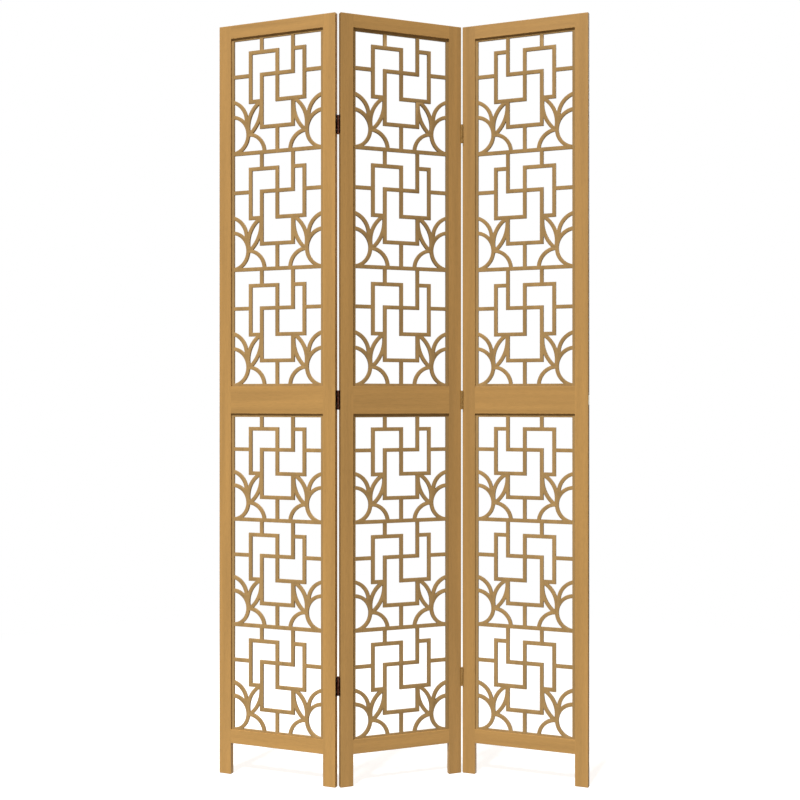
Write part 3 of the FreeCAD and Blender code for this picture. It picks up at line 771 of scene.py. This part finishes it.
# %% Sizes of the joinery and the hinges
TENON_SHOULDER = 0.0065
TENON_LENGTH = 0.014
TENON_CLEARANCE = 0.0001
MORTISE_END_GAP = 0.0005
OPENING_EASE = 0.0004
LONG_EDGE = 10 * ARRIS
HINGE_HEIGHT = 0.0424
HINGE_LEVELS = [0.220, PANEL_HEIGHT / 2, PANEL_HEIGHT - 0.2435]
LEAF_THICKNESS = 0.0012
LEAF_DEPTH = 0.0104
LEAF_END_GAP = 0.0001
SCREW_SPACING = 0.024
SCREW_LENGTH = 0.012
SCREW_RADIUS = 0.0012
SCREW_HEAD_RADIUS = 0.0024
SCREW_CLEARANCE = 0.0001
PLATE_HEIGHT = 0.032
PLATE_DEPTH = 0.008
PLATE_SCREW_SPACING = 0.026
PLATE_LEVEL = HINGE_LEVELS[1]
ROD_SIDES = 24
ROUND_SIDES = 40
FACE = STILE_WIDTH / 2
BACK = 1
FRONT = -1


def leaf_edges(side):
    """The two edges of a leaf across the stile's edge, and the line of its screws between them."""
    outer = side * THICKNESS / 2
    inner = side * (THICKNESS / 2 - LEAF_DEPTH)
    return min(inner, outer), max(inner, outer), (inner + outer) / 2


def lying_rod(radius, start, end, y, z, sides=ROD_SIDES):
    """A round rod along X."""
    bpy.ops.mesh.primitive_cylinder_add(
        vertices=sides, radius=radius, depth=end - start,
        location=((start + end) / 2, y, z), rotation=(0, pi / 2, 0),
    )
    return settle(bpy.context.object)


def bed(start, end, level, reach):
    """The hollow for a leaf or the plate in a stile's edge, that far up and down from a level."""
    return box((-FACE - OVERRUN, start, level - reach), (LEAF_THICKNESS - FACE, end, level + reach))


def pilots(middle, level, spacing):
    """The two pilot holes of a leaf or a plate."""
    holes = []
    for hand in (-1, 1):
        z = level + hand * spacing / 2
        end = -FACE + SCREW_LENGTH + SCREW_CLEARANCE
        holes.append(lying_rod(SCREW_RADIUS + SCREW_CLEARANCE, -FACE - OVERRUN, end, middle, z))
    return holes


# %% A stile
GROOVE_FLOOR = LEG_HEIGHT + TENON_SHOULDER - TENON_CLEARANCE
GROOVE_TOP = PANEL_HEIGHT - TENON_SHOULDER + TENON_CLEARANCE
RAIL_BANDS = {
    "bottom": (LEG_HEIGHT, LOWER_FLOOR),
    "mid": (MID_RAIL_LEVEL, UPPER_FLOOR),
    "top": (PANEL_HEIGHT - RAIL_HEIGHT, PANEL_HEIGHT),
}
OPENINGS = [(LOWER_FLOOR, MID_RAIL_LEVEL), (UPPER_FLOOR, PANEL_HEIGHT - RAIL_HEIGHT)]


def stile(hinge_side=0, plated=False):
    """A stile whose outer edge looks left, with its groove to the right."""
    post = box((-FACE, -THICKNESS / 2, 0), (FACE, THICKNESS / 2, PANEL_HEIGHT))
    slice_at(post, [level for opening in OPENINGS for level in opening] + [LEG_HEIGHT])

    def outer(middle, run):
        """Whether sandpaper rounds an edge: at the feet, at the top, and up the outer edge and the leg."""
        if near(middle.z, 0):
            return True
        if near(middle.z, PANEL_HEIGHT):
            return not near(middle.x, FACE)
        upright = abs(run.z) > abs(run.x) + abs(run.y)
        return upright and (near(middle.x, -FACE) or middle.z < LEG_HEIGHT)

    round_edges(post, ARRIS, outer)

    def inner(middle, run):
        """Whether an edge runs up the side of an opening."""
        upright = abs(run.z) > LONG_EDGE
        return upright and near(middle.x, FACE) and any(low < middle.z < high for low, high in OPENINGS)

    round_edges(post, OPENING_EASE, inner, segments=2)
    half = GROOVE_WIDTH / 2
    cuts = [box((FACE - GROOVE_DEPTH, -half, GROOVE_FLOOR), (FACE + OVERRUN, half, GROOVE_TOP))]
    deep = FACE - TENON_LENGTH - MORTISE_END_GAP
    for low, high in RAIL_BANDS.values():
        inset = TENON_SHOULDER - TENON_CLEARANCE
        cuts.append(box((deep, -half, low + inset), (FACE + OVERRUN, half, high - inset)))
    if hinge_side:
        start, end, middle = leaf_edges(hinge_side)
        # the bed is open towards the face that the barrel stands on
        if hinge_side == BACK:
            end += OVERRUN
        else:
            start -= OVERRUN
        for level in HINGE_LEVELS:
            cuts.append(bed(start, end, level, HINGE_HEIGHT / 2 + LEAF_END_GAP))
            cuts += pilots(middle, level, SCREW_SPACING)
    if plated:
        cuts.append(bed(-PLATE_DEPTH / 2, PLATE_DEPTH / 2, PLATE_LEVEL, PLATE_HEIGHT / 2))
        cuts += pilots(0, PLATE_LEVEL, PLATE_SCREW_SPACING)
    return combine(post, cuts, "DIFFERENCE")


STILES = {
    "plain": stile(),
    "hinged in front": stile(FRONT),
    "hinged behind": stile(BACK),
    "plated": stile(plated=True),
}
for word, piece in STILES.items():
    print("a stile,", word + ":", len(piece.data.polygons), "faces")


# %% The stiles in their panels
CORNER_LEAN = 0.3


def stile_place(panel, hand):
    """The place of a stile. One on the panel's own right is turned round, so that its groove looks in."""
    place = PLACES[panel] @ Matrix.Translation((hand * (PANEL_WIDTH - STILE_WIDTH) / 2, 0, 0))
    return place @ turned(pi) if hand > 0 else place


def outer_edge(face):
    """Whether a face belongs to a stile's outer edge or to the rounded corners beside it."""
    return face.normal.x < -CORNER_LEAN


# The panel, the side of it in its own frame, the side that the name gives, and the kind of stile. The
# right panel stands turned round, so its own sides are the other way about.
STILE_USES = [
    ("left", -1, "left", "plain"),
    ("left", 1, "right", "hinged in front"),
    ("middle", -1, "left", "hinged behind"),
    ("middle", 1, "right", "hinged behind"),
    ("right", 1, "left", "hinged in front"),
    ("right", -1, "right", "plated"),
]
for panel, hand, seen, kind in STILE_USES:
    dress(
        copied(STILES[kind]), "%s_panel_%s_stile" % (panel, seen), panel + "_panel",
        [WOODS[panel, seen], WOODS[panel, "edge"]], stile_place(panel, hand), outer_edge,
    )
delete(STILES.values())


# %% A rail
def rail(low, high, openings):
    """A rail with a tenon at each end and a groove along each edge that faces an opening (1 up, -1 down)."""
    half = FIELD_WIDTH / 2
    beam = box((-half, -THICKNESS / 2, low), (half, THICKNESS / 2, high))
    edges = {1: high, -1: low}

    def long_edge(middle, run, sides):
        """Whether an edge runs along the rail on one of those sides."""
        return abs(run.x) > FIELD_WIDTH / 2 and any(near(middle.z, edges[side]) for side in sides)

    round_edges(beam, OPENING_EASE, lambda middle, run: long_edge(middle, run, openings), segments=2)
    outside = [side for side in edges if side not in openings]
    if outside:
        round_edges(beam, ARRIS, lambda middle, run: long_edge(middle, run, outside))
    thick = GROOVE_WIDTH / 2 - TENON_CLEARANCE
    reach = half + TENON_LENGTH
    tenon = box((-reach, -thick, low + TENON_SHOULDER), (reach, thick, high - TENON_SHOULDER))
    combine(beam, [tenon], "UNION")
    wide = GROOVE_WIDTH / 2
    cuts = []
    for side in openings:
        ends = sorted((edges[side] - side * GROOVE_DEPTH, edges[side] + side * OVERRUN))
        cuts.append(box((-reach - OVERRUN, -wide, ends[0]), (reach + OVERRUN, wide, ends[1])))
    return combine(beam, cuts, "DIFFERENCE")


for word, (low, high) in RAIL_BANDS.items():
    openings = {"bottom": [1], "mid": [-1, 1], "top": [-1]}[word]
    pattern = rail(low, high, openings)
    for panel, place in PLACES.items():
        dress(
            copied(pattern), "%s_panel_%s_rail" % (panel, word), panel + "_panel",
            [WOODS[panel, "level"]], place,
        )
    delete([pattern])

# %% [markdown]
# Each fold turns on three small butt hinges. A leaf lies flush in a bed in the stile's edge, and its
# knuckles are rolled round the pin, which stands clear of the face of the screen. The outer leaf has the
# two end knuckles, the leaf on the middle panel has the one between them.

# %% Sizes of a hinge
KNUCKLE_RADIUS = 0.0025
KNUCKLE_GAP = 0.0002
STAND_OFF = 0.00015
PIN_RADIUS = 0.00125
PIN_CLEARANCE = 0.00005
PIN_TIP = 0.0004
PIN_ROUND = PIN_RADIUS / 2
AXIS_X = -FACE - PANEL_GAP / 2
AXIS_Y = THICKNESS / 2 + KNUCKLE_RADIUS + STAND_OFF
METAL_EASE = 0.00015


def upright_rod(radius, low, high, y):
    """A round rod on the hinge axis of a stile."""
    bpy.ops.mesh.primitive_cylinder_add(
        vertices=ROUND_SIDES, radius=radius, depth=high - low, location=(AXIS_X, y, (low + high) / 2),
    )
    return settle(bpy.context.object)


def rim(middle, run):
    """Whether an edge lies level, as those round the ends of an upright rod do."""
    return abs(run.z) < MERGE_DISTANCE


def countersink(y, z, clearance):
    """The head of a countersunk screw, flush with the leaf's face, or the hole for it."""
    bpy.ops.mesh.primitive_cone_add(
        vertices=ROUND_SIDES, radius1=SCREW_HEAD_RADIUS + clearance, radius2=SCREW_RADIUS + clearance,
        depth=LEAF_THICKNESS, location=(LEAF_THICKNESS / 2 - FACE, y, z), rotation=(0, pi / 2, 0),
    )
    return settle(bpy.context.object)


# %% A hinge leaf
def hinge_leaf(side, level, thirds):
    """A leaf in a stile's edge. The barrel is in thirds, counted up from -1, and it holds those given."""
    start, end, middle = leaf_edges(side)
    low = level - HINGE_HEIGHT / 2
    plate = box((-FACE, start, low), (LEAF_THICKNESS - FACE, end, low + HINGE_HEIGHT))
    round_edges(plate, METAL_EASE, lambda middle, run: True, segments=2)
    rolled = []
    axis_y = side * AXIS_Y
    for third in thirds:
        foot = level + HINGE_HEIGHT * (2 * third - 1) / 6 + (KNUCKLE_GAP / 2 if third >= 0 else 0)
        head = level + HINGE_HEIGHT * (2 * third + 1) / 6 - (KNUCKLE_GAP / 2 if third <= 0 else 0)
        reach = sorted((axis_y, middle))
        rolled.append(box((-FACE, reach[0], foot), (LEAF_THICKNESS - FACE, reach[1], head)))
        knuckle = upright_rod(KNUCKLE_RADIUS, foot, head, axis_y)
        rolled.append(round_edges(knuckle, METAL_EASE, rim, segments=2))
    combine(plate, rolled, "UNION")
    holes = [upright_rod(PIN_RADIUS + PIN_CLEARANCE, low - OVERRUN, low + HINGE_HEIGHT + OVERRUN, axis_y)]
    for hand in (-1, 1):
        z = level + hand * SCREW_SPACING / 2
        holes.append(countersink(middle, z, SCREW_CLEARANCE))
        shank = SCREW_RADIUS + SCREW_CLEARANCE
        holes.append(lying_rod(shank, -FACE - OVERRUN, OVERRUN - FACE, middle, z, ROUND_SIDES))
    return combine(plate, holes, "DIFFERENCE")


def of_barrel(face):
    """Whether a face of a leaf stands out past the face of the stile."""
    return abs(face.center.y) > THICKNESS / 2 + MERGE_DISTANCE


def join(items):
    """Gathers items as one piece, each still a body of its own."""
    only(items[0])
    for item in items:
        item.select_set(True)
    bpy.ops.object.join()
    return bpy.context.object


def hinge_pin(side, level):
    """A pin whose rounded tips stand just clear of the barrel."""
    reach = HINGE_HEIGHT / 2 + PIN_TIP
    pin = upright_rod(PIN_RADIUS, level - reach, level + reach, side * AXIS_Y)
    return round_edges(pin, PIN_ROUND, rim, segments=4)


# %% The screws
RECESS_REACH = 0.0014
RECESS_WIDTH = 0.0005
RECESS_DEPTH = 0.0008
SCREW_TURN = radians(37)


def cross_recess(y, z, turn):
    """The two blades that cut a cross for the driver into a screw's head."""
    blades = []
    for number in range(2):
        blade = box(
            (-OVERRUN / 4, -RECESS_WIDTH / 2, -RECESS_REACH),
            (RECESS_DEPTH, RECESS_WIDTH / 2, RECESS_REACH),
        )
        spun = Matrix.Rotation(turn + number * pi / 2, 4, "X")
        blades.append(settle(blade, Matrix.Translation((-FACE, y, z)) @ spun))
    return blades


def countersunk_screw(y, z, turn):
    """A screw with a cross recess, flush in its leaf."""
    head = countersink(y, z, 0)
    shank = lying_rod(SCREW_RADIUS, -FACE + LEAF_THICKNESS / 2, -FACE + SCREW_LENGTH, y, z)
    combine(head, [shank], "UNION")
    return combine(head, cross_recess(y, z, turn), "DIFFERENCE")


def screw_set(y, levels, spacing, kind):
    """The screws of a row of leaves or of the plate, each turned home a little differently."""
    screws = []
    for level in levels:
        for hand in (-1, 1):
            turn = SCREW_TURN * len(screws)
            screws.append(kind(y, level + hand * spacing / 2, turn))
    return join(screws)


# %% The hinges of both folds
OUTER_THIRDS = (-1, 1)
MIDDLE_THIRDS = (0,)

for fold, hand in (("left", -1), ("right", 1)):
    outer_place = stile_place(fold, 1)
    facing_place = stile_place("middle", hand)
    sides = (
        ("outer", fold + "_panel", FRONT, OUTER_THIRDS, outer_place),
        ("middle", "middle_panel", BACK, MIDDLE_THIRDS, facing_place),
    )
    for word, body, side, thirds, place in sides:
        leaves = join([hinge_leaf(side, level, thirds) for level in HINGE_LEVELS])
        finish = [LEAF_BRASS, BARREL_BRASS[fold]]
        dress(leaves, "%s_fold_%s_leaves" % (fold, word), body, finish, place, of_barrel)
        screws = screw_set(leaf_edges(side)[2], HINGE_LEVELS, SCREW_SPACING, countersunk_screw)
        dress(screws, "%s_fold_%s_screws" % (fold, word), body, [SCREW_METAL], place)
    pins = join([hinge_pin(BACK, level) for level in HINGE_LEVELS])
    finish = [BARREL_BRASS[fold]]
    dress(pins, fold + "_fold_pins", "middle_panel", finish, facing_place)

# %% [markdown]
# A small dull plate lies in the outer edge of the right panel at half height, held by two screws with
# round heads. Its corners are cut round, as a punched plate's are.

# %% The edge plate
PLATE_CORNER = 0.0015
PLATE_HEAD = 0.0008
PLATE_HEAD_ROUND = 0.7 * PLATE_HEAD

plate = box(
    (-FACE, -PLATE_DEPTH / 2, PLATE_LEVEL - PLATE_HEIGHT / 2),
    (LEAF_THICKNESS - FACE, PLATE_DEPTH / 2, PLATE_LEVEL + PLATE_HEIGHT / 2),
)
round_edges(plate, PLATE_CORNER, lambda middle, run: abs(run.x) > LEAF_THICKNESS / 2, segments=4)
round_edges(plate, METAL_EASE, lambda middle, run: near(middle.x, -FACE), segments=2)
holes = []
for hand in (-1, 1):
    z = PLATE_LEVEL + hand * PLATE_SCREW_SPACING / 2
    shank = SCREW_RADIUS + SCREW_CLEARANCE
    holes.append(lying_rod(shank, -FACE - OVERRUN, OVERRUN - FACE, 0, z, ROUND_SIDES))
combine(plate, holes, "DIFFERENCE")


def round_headed_screw(y, z, turn):
    """A slotted screw whose domed head stands on the plate."""
    top = -FACE - PLATE_HEAD
    head = lying_rod(SCREW_HEAD_RADIUS, top, -FACE, y, z, ROUND_SIDES)
    round_edges(head, PLATE_HEAD_ROUND, lambda middle, run: near(middle.x, top), segments=4)
    shank = lying_rod(SCREW_RADIUS, -FACE - PLATE_HEAD / 2, -FACE + SCREW_LENGTH, y, z)
    combine(head, [shank], "UNION")
    blade = box(
        (top - OVERRUN, y - RECESS_WIDTH / 2, z - SCREW_HEAD_RADIUS - OVERRUN),
        (-FACE - PLATE_HEAD / 2, y + RECESS_WIDTH / 2, z + SCREW_HEAD_RADIUS + OVERRUN),
    )
    centre = Matrix.Translation((0, y, z))
    settle(blade, centre @ Matrix.Rotation(turn, 4, "X") @ centre.inverted())
    return combine(head, [blade], "DIFFERENCE")


plate_place = stile_place("right", -1)
dress(plate, "edge_plate", "right_panel", [PLATE_METAL], plate_place)
plate_screws = screw_set(0, [PLATE_LEVEL], PLATE_SCREW_SPACING, round_headed_screw)
dress(plate_screws, "edge_plate_screws", "right_panel", [PLATE_SCREW_METAL], plate_place)
